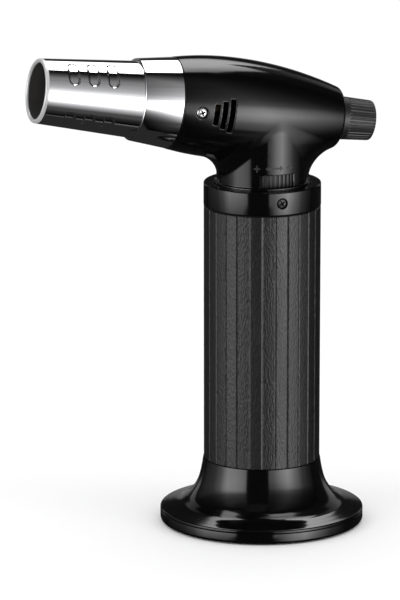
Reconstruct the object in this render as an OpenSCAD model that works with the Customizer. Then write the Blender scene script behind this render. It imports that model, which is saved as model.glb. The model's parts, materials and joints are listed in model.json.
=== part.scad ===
// Bench butane torch: a weighted foot, a ribbed grip round the fuel tank, and a
// tilted head that holds the burner, the chrome nozzle and a push-button igniter.
// The tank stands on Z. The head's own axis crosses Z at head_z and tilts upward
// towards the nozzle, which points along -X.

/* [Foot] */
// Radius of the foot at its widest
foot_r = 36.9; // [34:0.1:40]
// Height of the flared foot, where the grip starts
foot_h = 23.8; // [23:0.1:26]
// Height of the separate rim under the flared shell
rim_h = 4.4; // [4:0.2:5]

/* [Grip] */
// Outer radius of the grip over its flats
grip_r = 21; // [20.9:0.1:21.6]
// Length of the grip
grip_len = 94.1; // [80:0.1:110]
// Number of flats round the grip
grip_flats = 28; // [20:1:36]

/* [Head] */
// Upward tilt of the head axis towards the nozzle, in degrees
head_tilt = 8.6; // [6:0.2:12]
// Widest radius of the head
head_r = 18.3; // [18.2:0.1:18.8]
// Radius of the neck
neck_r = 17; // [16.9:0.1:17.1]
// Wall of the moulded head shells
head_wall = 2.0; // [1.8:0.1:2.2]

/* [Nozzle] */
// Distance of the nozzle mouth from the tank axis, along the head axis
mouth_s = 86.3; // [84:0.1:95]
// Radius of the nozzle at its mouth
mouth_r = 11.5; // [11.4:0.1:12.2]
// Radius of the nozzle where it enters its collar
tube_r = 13.8; // [13.7:0.05:14]

/* [Igniter] */
// Travel of the ignition button
button_travel = 5; // [3:0.5:5]
// Number of grip ribs on the ignition button
button_ribs = 24; // [16:2:28]

/* [Hidden] */
$fn = 64;

gap = 0.05;        // running clearance between pieces that slide or turn
seam = 0.03;       // half the gap between the two head shells
far = 200;         // longer than the torch, for cuts

// Heights of the stack on the tank axis
plate_z = 19.6;                    // underside of the plate inside the foot
plate_t = 2.2;
cap_z = plate_z + plate_t + gap;   // underside of the tank cap's flange
grip_z = foot_h;
grip_top = grip_z + grip_len;
tank_top = grip_top + 1.8;
flange_z = tank_top + 0.1;         // underside of the head's clamped flange
flange_t = 4.2;
collar_top = flange_z + flange_t + 1.8;
head_z = collar_top + 25.8;        // where the head axis crosses the tank axis
dial_z = collar_top + 1;
dial_h = 4.6;

// Radii on the tank axis
tank_r = grip_r - 2.2;
tank_wall = 2;
collar_r = grip_r + 0.2;
flange_r = tank_r - 0.1;
neck_bore = neck_r - 2.4;
dial_r = neck_r - 1;
screw_z = flange_z + flange_t / 2; // height of the screws in the collar

// Stations along the head axis, measured towards the nozzle
head_front = 35.8;
head_back = -28.3;
bulge_s = 16;                      // where the head is widest
front_curve = 0.0046;              // how fast the head narrows to the front
back_curve = 0.0038;               // and to the back
collar_front = 49.9;
nozzle_screw_s = 29.2;
vent_s = [23.7, 20.8, 18];
vent_len = [7.2, 9.6, 11.8];
shell_screw_at = [[-9, 11.6], [10, 12.5], [12, -12.5]];

// Igniter and burner, along the head axis
piezo_r = 4.8;
piezo_s = [-18, -5];
plunger_r = 3;
button_end = -41.6;
button_r = [7.85, 7.25];            // at its root and at its end
guide_r = 7.9;
guide_back = -24.2;
core_s = -31;                      // inner end wall of the button
burner_r = 8.3;
burner_end = 76;
electrode_at = 10.1;               // distance of the electrode from the axis

// Radius of the head at station s
function head_radius(s) =
    head_r - (s > bulge_s ? front_curve : back_curve) * pow(s - bulge_s, 2);

// Radius of the nozzle tube's outside at station s
function tube_radius(s) =
    tube_r + (mouth_r - tube_r) * (s - collar_front) / (mouth_s - collar_front);

// Points on an arc, in degrees
function arc(c, r, a0, a1, n) =
    [for (i = [0:n]) let (a = a0 + (a1 - a0) * i / n) c + r * [cos(a), sin(a)]];

// Puts children on the head axis: local +Z runs to the nozzle, local +X is up
module on_head() {
    translate([0, 0, head_z]) rotate([0, head_tilt - 90, 0]) children();
}

// A revolved outline, given as [radius, height] points. It starts at 45 degrees,
// clear of the plane that splits the head.
module turned(points) {
    rotate(45) rotate_extrude() polygon(points);
}

module tube(r_out, r_in, z0, z1) {
    turned([[r_in, z0], [r_out, z0], [r_out, z1], [r_in, z1]]);
}

module rod(r, z0, z1) {
    translate([0, 0, z0]) cylinder(r = r, h = z1 - z0);
}

module around(n, r, start = 0) {
    for (i = [0:n - 1]) rotate(start + i * 360 / n) translate([r, 0, 0]) children();
}

// An O-ring that lies flat at height z
module o_ring(r, thick, z) {
    translate([0, 0, z]) rotate_extrude() translate([r, 0]) circle(d = thick);
}

// A cross-head screw that points down from z = 0, its head above
module screw(head_r, head_t, shank_r, length) {
    difference() {
        union() {
            rod(shank_r, -length, 0);
            rod(head_r, 0, head_t);
        }
        for (a = [0, 90]) rotate(a) translate([-head_r * 0.62, -0.3, head_t * 0.35])
            cube([head_r * 1.24, 0.6, head_t]);
    }
}

// A round wire swept along a list of 3-D points
function unit(v) = v / norm(v);
function across(t) = unit(cross(t, abs(t.z) < 0.9 ? [0, 0, 1] : [1, 0, 0]));
function direction(path, i) =
    unit(path[min(i + 1, len(path) - 1)] - path[max(i - 1, 0)]);
module wire(path, r, sides = 8) {
    n = len(path);
    rings = [for (i = [0:n - 1])
        let (t = direction(path, i), u = across(t), v = cross(t, u))
        for (k = [0:sides - 1])
            path[i] + r * (cos(k * 360 / sides) * u + sin(k * 360 / sides) * v)];
    walls = [for (i = [0:n - 2], k = [0:sides - 1])
        let (a = i * sides + k, b = i * sides + (k + 1) % sides)
        [a, a + sides, b + sides, b]];
    polyhedron(rings, concat(walls,
        [[for (k = [0:sides - 1]) k]],
        [[for (k = [sides - 1:-1:0]) (n - 1) * sides + k]]));
}

// A compression spring from z0 to z1, as one wire
function coil(r, z0, z1, turns, steps) =
    [for (i = [0:turns * steps])
        let (a = i * 360 / steps)
        [r * cos(a), r * sin(a), z0 + (z1 - z0) * i / (turns * steps)]];

// ---------------------------------------------------------------- foot

screw_ring_r = 20.5;
cap_screw_r = 12;

module base_rim() {
    ring_in = 27.9;
    ring_out = 33.6;
    color("#101012") difference() {
        turned([
            [16, 2.4], [26, 2.4], [26, 0.6], [ring_in, 0.6], [ring_in, 1.9],
            [ring_out, 1.9], [ring_out, 0.6], [foot_r - 0.8, 0.6],
            [foot_r - 0.2, 1.6], [foot_r, 3], [foot_r, rim_h], [16, rim_h],
        ]);
        around(3, screw_ring_r, 30) rod(1.5, 0, far);
    }
}

module anti_slip_ring() {
    color("#222224") tube(33.5, 28, 0, 1.85);
}

module base_screws() {
    color("#8c8c90") around(3, screw_ring_r, 30) translate([0, 0, 2.35])
        rotate([180, 0, 0]) screw(2.6, 1.2, 1.3, 8);
}

// Outer line of the flared foot, from its lip up to the grip
function foot_line() = concat(
    [[foot_r, rim_h + gap]],
    arc([foot_r - 1, rim_h + 0.2], 1, 0, 70, 4),
    [[33.2, 6.3], [30.4, 7.2]],
    [for (a = [20:10:80]) [31.6 - 10 * sin(a), 24 - 16.4 * cos(a)]],
    [[grip_r + 0.2, foot_h - gap]]
);

module foot_shell() {
    color("#0c0c0e") difference() {
        union() {
            turned(concat([[34.3, rim_h + gap]], foot_line(), [
                [tank_r + 0.15, foot_h - gap], [tank_r + 0.15, plate_z + plate_t],
                [7.6, plate_z + plate_t], [7.6, plate_z], [19.4, plate_z],
                [20.4, 15.5], [21.6, 11], [24, 7.9], [28, 5.7], [34, 4.9],
            ]));
            around(3, screw_ring_r, 30) rod(3, rim_h + gap, 14);
        }
        around(3, screw_ring_r, 30) rod(1.35, 0, 11.5);
        around(3, cap_screw_r, 90) rod(1.6, plate_z - 1, plate_z + plate_t + 1);
    }
}

module foot_screws() {
    color("#8c8c90") around(3, cap_screw_r, 90) translate([0, 0, plate_z])
        rotate([180, 0, 0]) screw(2.6, 1.3, 1.3, 6);
}

// ---------------------------------------------------------------- tank

plug_r = tank_r - tank_wall - 0.1;
seal_z = grip_z + 3.5;

module tank_bottom_cap() {
    color("#d8d4c4") difference() {
        turned([
            [3.6, 18], [7.4, 18], [7.4, cap_z], [tank_r, cap_z],
            [tank_r, grip_z - gap], [plug_r, grip_z - gap], [plug_r, seal_z - 0.65],
            [plug_r - 1.2, seal_z - 0.65], [plug_r - 1.2, seal_z + 0.65],
            [plug_r, seal_z + 0.65], [plug_r, 30], [plug_r - 2.2, 30],
            [plug_r - 2.2, 26.5], [7, 26.5], [7, 34], [3.6, 34],
        ]);
        tube(5.4, 3, 17, 18.95);
        around(3, cap_screw_r, 90) rod(1.35, cap_z - 1, cap_z + 4);
    }
}

module cap_o_ring() {
    color("#1a1a1a") o_ring(plug_r - 0.58, 1.16, seal_z);
}

// The filler nozzle enters a short round port and lifts the stem off its seat
port_r = 2.2;
port_z = 13.5;
port_len = 1.9;

module refill_valve_body() {
    color("#c9a24a") turned([
        [port_r, port_z], [5.2, port_z], [5.2, 17.95], [3.55, 17.95], [3.55, 33],
        [1, 33], [1, 31], [2.6, 31], [2.6, 20], [1.3, 20], [1.3, 17],
        [port_r - 0.3, 17], [port_r - 0.3, port_z + port_len], [port_r, port_z + port_len],
    ]);
}

module refill_o_ring() {
    color("#1a1a1a") o_ring(4.5, 0.86, 18.45);
}

module refill_stem() {
    color("#d9b45c") turned([
        [0, 15.5], [1, 15.5], [1.25, 15.75], [1.25, 20.05],
        [2.45, 20.05], [2.45, 21.4], [0, 21.4],
    ]);
}

module refill_spring() {
    color("#b8b8bc") wire(coil(1.95, 21.75, 30.65, 6, 14), 0.28);
}

module fuel_tank() {
    in_r = tank_r - tank_wall;
    color("#d8d4c4") turned([
        [in_r, grip_z], [tank_r, grip_z], [tank_r, tank_top], [7.2, tank_top],
        [7.2, tank_top - 1], [6, tank_top - 1], [6, tank_top], [5.55, tank_top],
        [5.55, tank_top - 10.5], [8.5, tank_top - 10.5], [8.5, tank_top - 3],
        [in_r - 2, tank_top - 3], [in_r, tank_top - 5],
    ]);
}

module fuel_wick() {
    color("#e8e4d8") rod(1.6, 36, tank_top - 9);
}

// ---------------------------------------------------------------- grip

module grip_sleeve() {
    pitch = 360 / grip_flats;
    edge = pitch / 2 - 0.75;
    corner = grip_r / cos(edge);
    outline = [for (i = [0:grip_flats - 1])
        let (mid = -90 + i * pitch)
        for (k = [0:2])
            let (a = mid + [-edge, edge, pitch / 2][k], r = k < 2 ? corner : grip_r - 0.4)
            r * [cos(a), sin(a)]];
    color("#1c1c1e") translate([0, 0, grip_z]) difference() {
        linear_extrude(grip_len) polygon(outline);
        rod(tank_r + 0.1, -1, grip_len + 1);
    }
}

module collar_ring() {
    bottom = grip_top + gap;
    lip_z = flange_z + flange_t + 0.1;
    color("#0c0c0e") difference() {
        turned(concat(
            [[tank_r + 0.15, bottom], [collar_r, bottom]],
            arc([collar_r - 1, collar_top - 1], 1, 0, 90, 5),
            [[neck_r + 0.3, collar_top], [neck_r + 0.3, lip_z], [tank_r + 0.15, lip_z]]
        ));
        for (side = [-1, 1]) translate([0, 0, screw_z]) rotate([90 * side, 0, 0]) {
            rod(1.4, 0, far);
            rod(2.1, collar_r - 1.25, far);
        }
    }
}

module collar_screws() {
    color("#2a2a2c") for (side = [-1, 1])
        translate([0, 0, screw_z]) rotate([90 * side, 0, 0])
            translate([0, 0, collar_r - 1.25]) screw(2, 0.85, 1.25, 5);
}

// ---------------------------------------------------------------- gas valve

sleeve_z = tank_top + 0.4;
square_z = tank_top + 5.4;

module valve_body() {
    bottom = tank_top - 12.5;
    color("#c9a24a") union() {
        turned([
            [1.7, bottom], [5.5, bottom], [5.5, tank_top + 0.05], [5.3, tank_top + 0.05],
            [5.3, tank_top + 5.1], [4 + gap, tank_top + 5.1], [4 + gap, tank_top - 6],
            [0.7, tank_top - 6], [0.7, tank_top - 8.5], [1.7, tank_top - 8.5],
        ]);
        difference() {
            translate([0, 0, tank_top + 0.05]) cylinder(r = 7.4, h = 2.2, $fn = 6);
            rod(4.6, 0, far);
        }
    }
}

module valve_o_ring() {
    color("#1a1a1a") o_ring(6.6, 0.94, tank_top - 0.5);
}

// Threaded sleeve that sets the flow: its square end slides in the dial's hub
module adjuster_sleeve() {
    color("#d9b45c") difference() {
        union() {
            rod(4, sleeve_z, square_z);
            translate([-2.8, -2.8, square_z]) cube([5.6, 5.6, 6.6]);
        }
        rod(1.65, 0, far);
    }
}

module outlet_stem() {
    color("#c9a24a") turned([
        [0.8, tank_top - 6], [3.9, tank_top - 6], [3.9, sleeve_z - 0.3],
        [1.5, sleeve_z - 0.3], [1.5, tank_top + 17], [0.8, tank_top + 17],
    ]);
}

module flow_dial() {
    ribs = 64;
    rim = [for (i = [0:2 * ribs - 1])
        (i % 2 == 0 ? dial_r : dial_r - 0.7) * [cos(i * 180 / ribs), sin(i * 180 / ribs)]];
    color("#1c1c1e") translate([0, 0, dial_z]) difference() {
        linear_extrude(dial_h) polygon(rim);
        tube(dial_r - 2.6, 5.2, -1, 1.2);
        tube(dial_r - 2.6, 5.2, 3.2, dial_h + 1);
        translate([-2.85, -2.85, -1]) cube([5.7, 5.7, dial_h + 2]);
    }
}

// ---------------------------------------------------------------- gas path

module gas_hose() {
    color("#9c9288") tube(2.6, 1.55, tank_top + 12.9, head_z - 5.7);
}

module jet_block() {
    color("#c9a24a") difference() {
        union() {
            on_head() rod(5, -3.5, 6.5);
            on_head() rod(3.35, 6.5, 10);
            rod(1.5, head_z - 13.5, head_z - 2);
        }
        on_head() rod(1.5, 0, 10.5);
        rod(0.8, head_z - 14, head_z);
    }
}

module gas_jet() {
    color("#e0bc62") on_head() turned([
        [0.3, 6], [1.45, 6], [1.45, 10], [1.9, 10], [1.9, 10.8], [1.2, 11.6], [0.3, 11.6],
    ]);
}

module mixing_tube() {
    color("#b8913e") on_head() difference() {
        tube(4.5, 3.4, 6.6, 30);
        for (a = [45:90:315]) rotate(a) translate([0, 0, 15.5]) rotate([0, 90, 0]) rod(1.4, 0, 8);
    }
}

module burner_base() {
    color("#b8913e") on_head() turned([
        [4.55, 27], [5.6, 27], [5.6, 31], [9, 37], [9, 40], [7.5, 40], [7.5, 43],
        [6.6, 43], [6.6, 37.5], [3.6, 31], [3.6, 30.1], [4.55, 30.1],
    ]);
}

module burner_tube() {
    color("#8f8a86") on_head() tube(burner_r, 7.6, 40.05, burner_end);
}

module burner_head() {
    color("#a8a29a") on_head() difference() {
        rod(7.5, 69, 73);
        rod(1.8, 60, 80);
        around(8, 4.9) rod(1.15, 60, 80);
    }
}

module spacer_ring() {
    color("#8f8a86") on_head() difference() {
        tube(tube_r - 1.2, burner_r + 0.1, 43.5, 45);
        around(8, electrode_at) rod(1.45, 40, 50);
    }
}

// ---------------------------------------------------------------- nozzle

module nozzle_collar() {
    spigot_r = 14.9;
    color("#c8c8cc") on_head() difference() {
        turned(concat(
            [[13.2, 25], [spigot_r, 25], [spigot_r, head_front + 0.1],
             [16.4, head_front + 0.1]],
            arc([tube_r + 0.45, collar_front - 0.5], 0.5, 10, 90, 4),
            [[tube_r + gap, collar_front], [tube_r + gap, 40.1], [13.2, 40.1]]
        ));
        for (side = [-1, 1]) translate([0, 0, nozzle_screw_s]) rotate([90 * side, 0, 0])
            rod(1.2, 5, far);
    }
}

module nozzle_tube() {
    wall = 0.95;
    bead = 0.75;
    slot_w = 3.7;
    slot_s = [75.8, 68.6, 61.4];
    slot_arc = 46;
    slot_depth = 0.4;
    lip_s = mouth_s - bead;
    color("#d4d4d8") on_head() difference() {
        turned(concat(
            [[tube_r - wall, 40.2], [tube_r, 40.2], [tube_r, collar_front],
             [mouth_r - 0.02, lip_s]],
            arc([mouth_r - bead, lip_s], bead, 10, 180, 8),
            [[mouth_r - wall - 0.15, lip_s - 1.6], [tube_r - wall, collar_front]]
        ));
        for (s = slot_s, quarter = [0:3])
            rotate(quarter * 90 + 45 - slot_arc / 2)
                rotate_extrude(angle = slot_arc)
                    translate([tube_radius(s) - slot_depth, s - slot_w / 2])
                        square([3, slot_w]);
    }
}

module nozzle_screws() {
    color("#d0d0d4") on_head() for (side = [-1, 1])
        translate([0, 0, nozzle_screw_s]) rotate([90 * side, 0, 0])
            translate([0, 0, head_radius(nozzle_screw_s) - 1]) screw(1.95, 0.8, 1.15, 4.6);
}

// ---------------------------------------------------------------- head shells

// Outside of the head: the turned body, the neck and the web that joins them
module head_outside() {
    back = [for (a = [0:15:90]) [10 + 1.2 * sin(a), head_back + 1.2 - 1.2 * cos(a)]];
    on_head() turned(concat(
        [[0, head_back]],
        back,
        [for (s = [-26.6:3.2:33]) [head_radius(s), s]],
        [[head_radius(head_front), head_front], [0, head_front]]
    ));
    rod(neck_r, flange_z + flange_t, head_z - 4);
    rod(flange_r, flange_z, flange_z + flange_t);
    neck_web();
}

// Curved web that blends the neck into the head, front and back. Its plan is a
// lens a little narrower than the neck.
module neck_web() {
    web_len = 28;
    half_w = neck_r - 0.7;
    side_r = (pow(half_w, 2) + pow(web_len, 2)) / (2 * half_w);
    translate([0, 0, head_z]) intersection() {
        turned([[0, -22.5], [16.6, -22.5], [17.8, -20.3], [18.9, -18.8], [21.2, -17.3],
                [24.5, -16], [27, -15.2], [27, -8], [0, -8]]);
        translate([0, side_r - half_w, 0]) rod(side_r, -25, 0);
        translate([0, half_w - side_r, 0]) rod(side_r, -25, 0);
    }
}

// Room inside the head, for the burner, the piezo and the valve
module head_inside() {
    on_head() turned(concat(
        [[0, head_back - 1], [guide_r + 0.2, head_back - 1],
         [guide_r + 0.2, guide_back - 0.2], [9.4, guide_back - 0.2], [9.4, -19]],
        [for (s = [-17.5:4:22.5]) [head_radius(s) - head_wall, s]],
        [[14.95, 24.8], [14.95, head_front + 1], [0, head_front + 1]]
    ));
    rod(neck_bore, flange_z - 1, head_z - 2);
    tube(dial_r + 0.25, neck_bore - 1, dial_z - 0.2, dial_z + dial_h + 0.2);
}

// Rings inside the shells that carry the piezo
module cradle() {
    on_head() for (s = [-16.8, -11.5]) tube(head_radius(s) - 1, piezo_r + gap, s, s + 1.5);
}

// Opening that shows the dial's edge, on each side of the neck
module dial_window(side) {
    half_w = dial_r * sin(20);
    translate([-half_w, side > 0 ? 0 : -far, dial_z - 0.1])
        cube([2 * half_w, far, dial_h + 0.2]);
}

// Cooling vents, and the holes and seats of the radial screws
module side_cuts(side) {
    on_head() {
        for (i = [0:2]) translate([-vent_len[i] / 2, side > 0 ? 5 : -far, vent_s[i] - 1])
            cube([vent_len[i], far - 5, 2]);
        translate([0, 0, nozzle_screw_s]) rotate([-90 * side, 0, 0]) {
            rod(1.3, 5, far);
            rod(2.15, head_radius(nozzle_screw_s) - 1, far);
        }
    }
    translate([0, 0, screw_z]) rotate([-90 * side, 0, 0]) rod(1.35, 5, far);
}

module shell(side) {
    difference() {
        union() {
            difference() {
                head_outside();
                head_inside();
            }
            intersection() {
                head_outside();
                union() {
                    cradle();
                    boss_set(side);
                }
            }
        }
        translate([-far, side > 0 ? seam - far : -seam, 0]) cube([2 * far, far, far]);
        side_cuts(side);
        if (side < 0) dial_window(side);
        boss_bores(side);
    }
}

// Bosses for the screws that draw the shells together
module boss_set(side) {
    on_head() for (at = shell_screw_at)
        translate([at[1], 0, at[0]]) rotate([-90 * side, 0, 0])
            rod(2.4, 0, sqrt(pow(head_radius(at[0]) - 1.2, 2) - pow(at[1], 2)));
}

module boss_bores(side) {
    on_head() for (at = shell_screw_at)
        translate([at[1], 0, at[0]]) rotate([-90, 0, 0]) {
            rod(1.3, -6, far);
            if (side > 0) rod(2.2, boss_seat(at), far);
        }
}

// Depth of the screw heads' seats in the far shell
function boss_seat(at) = sqrt(pow(head_radius(at[0]), 2) - pow(at[1], 2)) - 1.6;

module head_shell_left() {
    color("#0c0c0e") shell(-1);
}

module head_shell_right() {
    color("#0c0c0e") shell(1);
}

module shell_screws() {
    color("#2a2a2c") on_head() for (at = shell_screw_at)
        translate([at[1], 0, at[0]]) rotate([-90, 0, 0]) translate([0, 0, boss_seat(at)])
            screw(2, 0.9, 1.2, boss_seat(at) + 5);
}

// ---------------------------------------------------------------- igniter

module electrode_ceramic() {
    color("#ece6d8") on_head() translate([electrode_at, 0, 0]) tube(1.35, 0.6, 41.5, 64);
}

module electrode_wire() {
    color("#9a948c") on_head() wire(concat(
        [for (s = [38:6:74]) [electrode_at, 0, s]],
        [for (a = [20:20:100]) [electrode_at - 2 + 2 * cos(a), 0, 75.2 + 2 * sin(a)]],
        [[6.2, 0, 76.9]]
    ), 0.5);
}

// High-tension lead from the piezo's side, over the mixing tube, to the electrode
lead_route = [
    [4.9, 0, -8], [5.9, 0, -7.9], [6.9, 0, -7.2], [7.4, 0, -6], [7.5, 0, -4],
    [7.5, 0, 2], [7.5, 0, 8], [7.5, 0, 14], [7.5, 0, 20], [7.7, 0, 24],
    [8.5, 0, 29], [9.4, 0, 32], [10, 0, 35], [10.1, 0, 37], [10.1, 0, 41.4],
];

module piezo_lead() {
    color("#a02020") on_head() difference() {
        wire(lead_route, 0.95);
        translate([electrode_at, 0, 0]) rod(0.55, 37.5, 42);
    }
}

module piezo_igniter() {
    color("#e4e0d4") on_head() difference() {
        rod(piezo_r, piezo_s[0], piezo_s[1]);
        rod(plunger_r + gap, piezo_s[0] - 1, piezo_s[0] + 9.5);
    }
}

module piezo_plunger() {
    color("#30303a") on_head() rod(plunger_r, core_s - 2.9, -15);
}

module return_spring() {
    color("#b8b8bc") on_head() wire(coil(4.2, core_s + 0.45, piezo_s[0] - 0.45, 6, 16), 0.38);
}

module ignition_button() {
    rib_depth = 0.45;
    slope = button_r[0] - button_r[1];
    rib_from = -31;
    rib_to = button_end + 1.2;
    color("#333336") on_head() difference() {
        turned(concat(
            [[0, button_end]],
            arc([button_r[1] - 1, button_end + 1], 1, -90, 0, 4),
            [[button_r[0], -30], [guide_r, -29.8], [guide_r, guide_back], [9, guide_back],
             [9, guide_back + 1.8], [6.2, guide_back + 1.8], [6.2, core_s],
             [3.05, core_s], [3.05, core_s - 3], [0, core_s - 3]]
        ));
        around(button_ribs, 0)
            translate([button_r[0] - 0.1 - rib_depth, 0, rib_from])
                rotate([0, atan2(slope, button_end + 30), 0])
                    translate([0, -0.3, rib_to - rib_from]) cube([3, 0.6, rib_from - rib_to]);
    }
}

base_rim();
anti_slip_ring();
base_screws();
foot_shell();
foot_screws();
tank_bottom_cap();
cap_o_ring();
refill_valve_body();
refill_o_ring();
refill_stem();
refill_spring();
fuel_tank();
fuel_wick();
grip_sleeve();
collar_ring();
collar_screws();
valve_body();
valve_o_ring();
adjuster_sleeve();
outlet_stem();
flow_dial();
gas_hose();
jet_block();
gas_jet();
mixing_tube();
burner_base();
burner_tube();
burner_head();
spacer_ring();
nozzle_collar();
nozzle_tube();
nozzle_screws();
head_shell_left();
head_shell_right();
shell_screws();
electrode_ceramic();
electrode_wire();
piezo_lead();
piezo_igniter();
piezo_plunger();
return_spring();
ignition_button();
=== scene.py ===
"""Butane torch: finished meshes for its visible pieces and springs, with materials, light and camera.

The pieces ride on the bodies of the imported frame. The other inner pieces stay as the CAD made them.
"""
import json
import math

import bmesh
import bpy
import numpy as np
from mathutils import Matrix, Vector


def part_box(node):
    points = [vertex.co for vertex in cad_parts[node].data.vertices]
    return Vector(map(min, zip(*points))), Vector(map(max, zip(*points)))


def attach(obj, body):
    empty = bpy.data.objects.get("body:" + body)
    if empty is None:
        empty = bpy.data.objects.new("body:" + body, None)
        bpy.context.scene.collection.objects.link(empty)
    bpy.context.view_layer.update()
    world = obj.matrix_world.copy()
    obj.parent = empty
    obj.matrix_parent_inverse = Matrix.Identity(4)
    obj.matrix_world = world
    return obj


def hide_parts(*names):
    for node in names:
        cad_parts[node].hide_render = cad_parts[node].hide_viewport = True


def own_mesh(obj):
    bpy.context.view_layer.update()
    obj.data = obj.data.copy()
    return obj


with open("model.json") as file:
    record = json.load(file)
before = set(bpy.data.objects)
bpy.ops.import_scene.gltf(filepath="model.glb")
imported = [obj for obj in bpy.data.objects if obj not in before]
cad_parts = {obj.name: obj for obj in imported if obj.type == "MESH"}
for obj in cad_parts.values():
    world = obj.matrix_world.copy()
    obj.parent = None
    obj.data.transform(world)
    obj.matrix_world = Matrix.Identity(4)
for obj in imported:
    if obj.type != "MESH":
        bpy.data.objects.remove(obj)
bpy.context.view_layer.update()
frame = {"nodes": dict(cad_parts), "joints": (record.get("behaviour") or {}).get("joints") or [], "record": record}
MM = 0.001
TAU = 2 * math.pi


# ---------------------------------------------------------------- sizes, in mm
def low(node, axis):
    """Lowest coordinate of a CAD node, in mm. Axis 0 is X and axis 2 is Z."""
    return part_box(node)[0][axis] / MM


def high(node, axis):
    """Highest coordinate of a CAD node, in mm."""
    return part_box(node)[1][axis] / MM


def middle(node, axis):
    """Middle coordinate of a CAD node, in mm."""
    return (low(node, axis) + high(node, axis)) / 2


def joint(name):
    """The frame's entry for a joint."""
    return next(j for j in frame["joints"] if j["name"] == name)


# The head's axis leans back by TILT and crosses the upright axis at HEAD_Z
press = joint("ignition_press")
TILT = math.asin(press["axis"][2])
COS, SIN = math.cos(TILT), math.sin(TILT)
HEAD_Z = middle("gas_jet", 2) + middle("gas_jet", 0) * math.tan(TILT)
AXIS = Matrix.Translation((0, 0, HEAD_Z)) @ Matrix.Rotation(TILT - math.pi / 2, 4, "Y")
UP = Matrix.Identity(4)

FOOT_R = high("foot_shell", 0)
FOOT_TOP = high("foot_shell", 2)
RIM_H = high("base_rim", 2)
GRIP_BOTTOM, GRIP_TOP = low("grip_sleeve", 2), high("grip_sleeve", 2)
GRIP_R = 21.0
FLATS = 28
COLLAR_R = high("collar_ring", 0)
COLLAR_TOP = high("collar_ring", 2)
SEAM = GRIP_TOP - 0.4
SCREW_Z = middle("collar_screws", 2)
TANK_R = high("fuel_tank", 0)
NECK_R = 16.9
NECK_BORE = 14.6
DIAL_Z, DIAL_TOP, DIAL_R = low("flow_dial", 2), high("flow_dial", 2), 16.0

# Stations along the head's axis, from the upright axis towards the nozzle
FRONT, BACK = 35.8, -28.3
WIDEST = 16.0
SCREW_S = 29.2
SLEEVE_FRONT = 49.9
MOUTH = 86.3
MOUTH_R, TUBE_R = 11.5, 13.8
HEAD_R = 18.3
# Cooling slots as (station, length), and case screws as (station, height over the axis)
VENTS = [(23.7, 7.2), (20.8, 9.6), (18.0, 11.8)]
CASE_SCREWS = [(-9.0, 11.6), (10.0, 12.5), (12.0, -12.5)]
WINDOW_HALF = 6.45


def head_radius(s):
    """Radius of the head at station s of its axis."""
    s = np.asarray(s, float)
    return HEAD_R - np.where(s > WIDEST, 0.0046, 0.0038) * (s - WIDEST) ** 2


def tube_radius(s):
    """Radius of the nozzle tube at station s."""
    return TUBE_R + (MOUTH_R - TUBE_R) * (np.asarray(s) - SLEEVE_FRONT) / (MOUTH - SLEEVE_FRONT)


# ---------------------------------------------------------------- mesh helpers
SHARP = 28


def arc(cx, cy, r, a0, a1, n):
    """Points along an arc, from angle a0 to a1 in degrees."""
    return [(cx + r * math.cos(math.radians(a0 + (a1 - a0) * i / n)),
             cy + r * math.sin(math.radians(a0 + (a1 - a0) * i / n))) for i in range(n + 1)]


def rounded(points, radii, n=5):
    """A closed outline with its corners rounded. radii is one number or one for each corner."""
    pts = [np.array(p, float) for p in points]
    m = len(pts)
    if not isinstance(radii, (list, tuple)):
        radii = [radii] * m
    out = []
    for i, p in enumerate(pts):
        a, b = pts[i - 1], pts[(i + 1) % m]
        la, lb = np.linalg.norm(a - p), np.linalg.norm(b - p)
        if radii[i] <= 0 or la < 1e-6 or lb < 1e-6:
            out.append(tuple(p))
            continue
        u, v = (a - p) / la, (b - p) / lb
        half = math.acos(max(-1, min(1, float(u @ v)))) / 2
        if half > math.pi / 2 - 0.02:
            out.append(tuple(p))
            continue
        t = min(radii[i] / math.tan(half), 0.49 * la, 0.49 * lb)
        r = t * math.tan(half)
        w = (u + v) / np.linalg.norm(u + v)
        c = p + w * r / math.sin(half)
        s, e = p + u * t - c, p + v * t - c
        turn = math.atan2(s[0] * e[1] - s[1] * e[0], float(s @ e))
        for k in range(n + 1):
            q = turn * k / n
            out.append((c[0] + s[0] * math.cos(q) - s[1] * math.sin(q),
                        c[1] + s[0] * math.sin(q) + s[1] * math.cos(q)))
    return out


def spline(points, steps=8):
    """A smooth line through points."""
    p = np.array([points[0]] + list(points) + [points[-1]], float)
    out = []
    for i in range(1, len(p) - 2):
        for k in range(steps):
            t = k / steps
            out.append(0.5 * (2 * p[i] + (p[i + 1] - p[i - 1]) * t
                              + (2 * p[i - 1] - 5 * p[i] + 4 * p[i + 1] - p[i + 2]) * t ** 2
                              + (3 * p[i] - p[i - 1] - 3 * p[i + 1] + p[i + 2]) * t ** 3))
    return [tuple(q) for q in out] + [tuple(p[-1])]


def add_object(name, data):
    """A new object in the scene."""
    obj = bpy.data.objects.new(name, data)
    bpy.context.scene.collection.objects.link(obj)
    return obj


def shade(mesh, sharp=SHARP):
    """Smooth shading, with an edge kept sharp where it turns by more than sharp degrees."""
    mesh.polygons.foreach_set("use_smooth", [True] * len(mesh.polygons))
    mesh.set_sharp_from_angle(angle=math.radians(sharp))


def build(name, verts, faces, matrix=UP, sharp=SHARP):
    """A mesh object from points in millimetres."""
    mesh = bpy.data.meshes.new(name)
    m = np.array(matrix)
    v = (np.asarray(verts, float) @ m[:3, :3].T + m[:3, 3]) * MM
    mesh.from_pydata(v.tolist(), [], faces)
    bm = bmesh.new()
    bm.from_mesh(mesh)
    bmesh.ops.remove_doubles(bm, verts=bm.verts, dist=1e-7)
    bmesh.ops.recalc_face_normals(bm, faces=bm.faces)
    bm.to_mesh(mesh)
    bm.free()
    shade(mesh, sharp)
    return add_object(name, mesh)


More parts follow.
